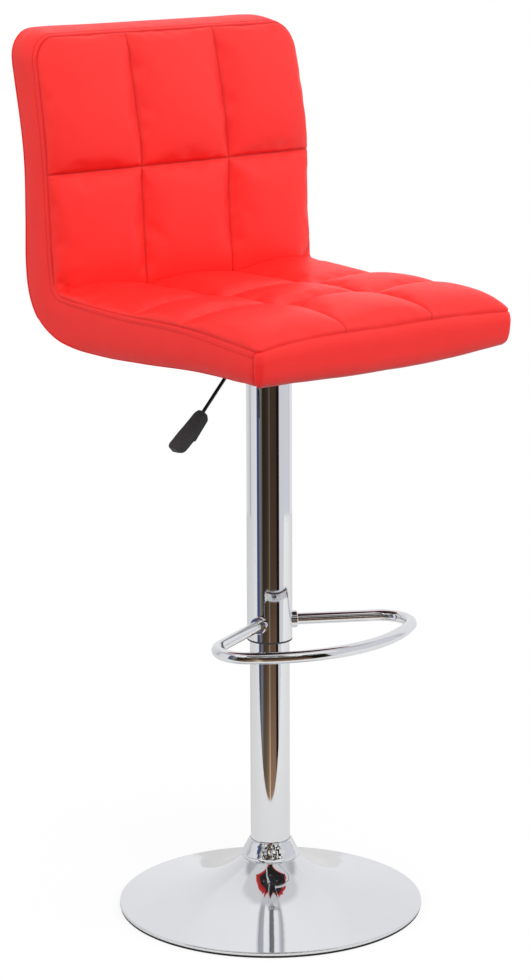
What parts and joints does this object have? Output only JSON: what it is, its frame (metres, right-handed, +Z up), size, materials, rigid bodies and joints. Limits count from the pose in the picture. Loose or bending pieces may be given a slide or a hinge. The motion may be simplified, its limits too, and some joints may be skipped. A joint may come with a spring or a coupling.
{
  "type": "adjustable swivel stool",
  "caption": "Padded swivel stool with a low quilted back, gas-lift column, D-shaped footrest, side lever and round dished base.",
  "frame": {"origin": "on the floor, at the middle of the round base", "axes": "+Z up along the column; the sitter faces -Y; the height lever is on the -X side"},
  "size_m": [0.435, 0.4346, 1.1086],
  "materials": {
    "chrome_plate": "polished plate on steel tube and sheet",
    "raw_steel": "plain turned or pressed steel",
    "black_paint": "semi-gloss black",
    "black_plastic": "fine satin grain",
    "black_rubber": "matt",
    "red_leather": "smooth coated leatherette, soft sheen",
    "plywood": "bent birch plywood",
    "foam": "cut polyurethane foam",
    "black_cloth": "thin non-woven"
  },
  "bodies": {
    "base": {"base_shell": "chrome_plate", "base_ring": "black_rubber", "base_hub": "raw_steel", "hub_brace": "raw_steel", "column_collar": "chrome_plate", "lower_column": "chrome_plate", "column_end_plate": "raw_steel", "column_guide_bush": "black_plastic", "thrust_washer_lower": "raw_steel", "thrust_balls": "raw_steel", "ball_cage": "black_plastic"},
    "piston_rod": {"thrust_washer_upper": "raw_steel", "piston_rod": "raw_steel", "rod_clip": "raw_steel", "rubber_bumper": "black_rubber", "piston": "raw_steel", "piston_seal": "black_rubber", "piston_nut": "raw_steel"},
    "seat": {"gas_cylinder": "black_paint", "cylinder_guide": "black_plastic", "taper_socket": "raw_steel", "cover_tube": "chrome_plate", "cover_tube_cap": "raw_steel", "cover_tube_bush": "black_plastic", "footrest_tube": "chrome_plate", "footrest_ferrules": "chrome_plate", "seat_plate": "black_paint", "lever_channel": "black_paint", "lever_pivot_pin": "raw_steel", "seat_bolts": "raw_steel", "seat_washers": "raw_steel", "seat_tee_nuts": "raw_steel", "seat_board": "plywood", "seat_foam": "foam", "back_foam": "foam", "rear_padding": "foam", "left_border": "red_leather", "right_border": "red_leather", "front_border": "red_leather", "rear_cover": "red_leather", "quilted_cover": "red_leather", "dust_cover": "black_cloth"},
    "lever": {"lever_rod": "black_paint", "lever_grip": "black_plastic"},
    "release_pin": {"release_pin": "raw_steel"}
  },
  "joints": [
    {"name": "seat_swivel", "type": "hinge", "parent": "base", "child": "piston_rod", "pos_m": [0, 0, 0], "axis": [0, 0, 1], "continuous": true},
    {"name": "height_lift", "type": "slide", "parent": "piston_rod", "child": "seat", "axis": [0, 0, 1], "range_m": [-0.21, 0]},
    {"name": "lever_lift", "type": "hinge", "parent": "seat", "child": "lever", "pos_m": [-0.03, 0, 0.716], "axis": [0, 1, 0], "range_deg": [0, 8], "stiffness_Nm_per_rad": 8},
    {"name": "pin_press", "type": "slide", "parent": "seat", "child": "release_pin", "axis": [0, 0, 1], "range_m": [-0.0045, 0]}
  ],
  "couplings": [
    {"joint": "pin_press", "follows": "lever_lift", "m_per_rad": -0.0306}
  ]
}
